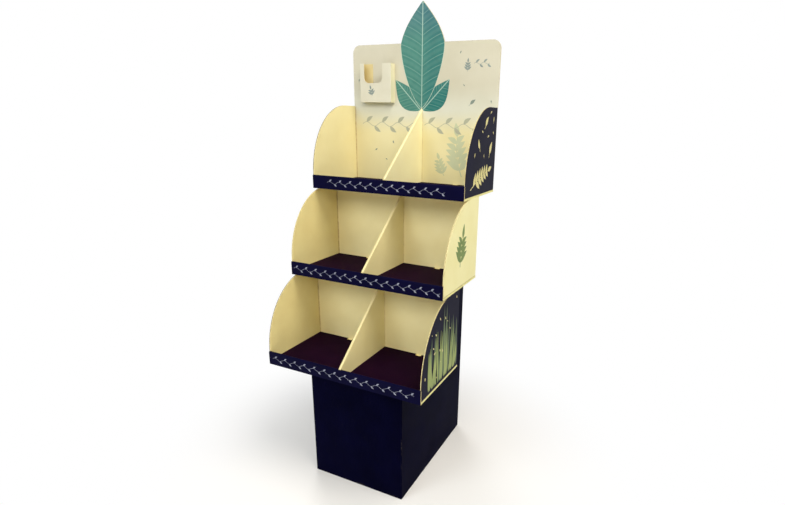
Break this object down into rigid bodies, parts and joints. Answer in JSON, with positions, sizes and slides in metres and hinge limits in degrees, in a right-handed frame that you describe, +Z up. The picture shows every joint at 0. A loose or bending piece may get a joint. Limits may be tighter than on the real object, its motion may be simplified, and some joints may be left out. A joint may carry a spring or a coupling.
{
  "type": "cardboard display stand",
  "caption": "Floor-standing display stand of folded cardboard: a stepped column carries open divided trays under a header card with a pointed topper and a leaflet pocket.",
  "frame": {"origin": "middle of the footprint's bounding box, on the ground", "axes": "+Z up, -Y towards the person in front, +X to that person's right"},
  "size_m": [0.6, 0.611, 1.7054],
  "materials": {
    "navy_board": "printed satin",
    "cream_board": "printed satin",
    "header_board": "printed satin",
    "plain_board": "uncoated",
    "carton": "printed satin"
  },
  "bodies": {
    "root": {"column_sleeve": "navy_board", "column_steps": "navy_board", "column_rib": "plain_board", "column_brace": "plain_board", "tray_1_base": "plain_board", "tray_1_shell": "cream_board", "tray_1_shelf": "navy_board", "tray_1_divider": "cream_board", "tray_2_base": "plain_board", "tray_2_shell": "cream_board", "tray_2_shelf": "navy_board", "tray_2_divider": "cream_board", "tray_3_base": "plain_board", "tray_3_shell": "header_board", "tray_3_shelf": "navy_board", "tray_3_divider": "cream_board", "leaflet_pocket": "carton"}
  },
  "joints": []
}
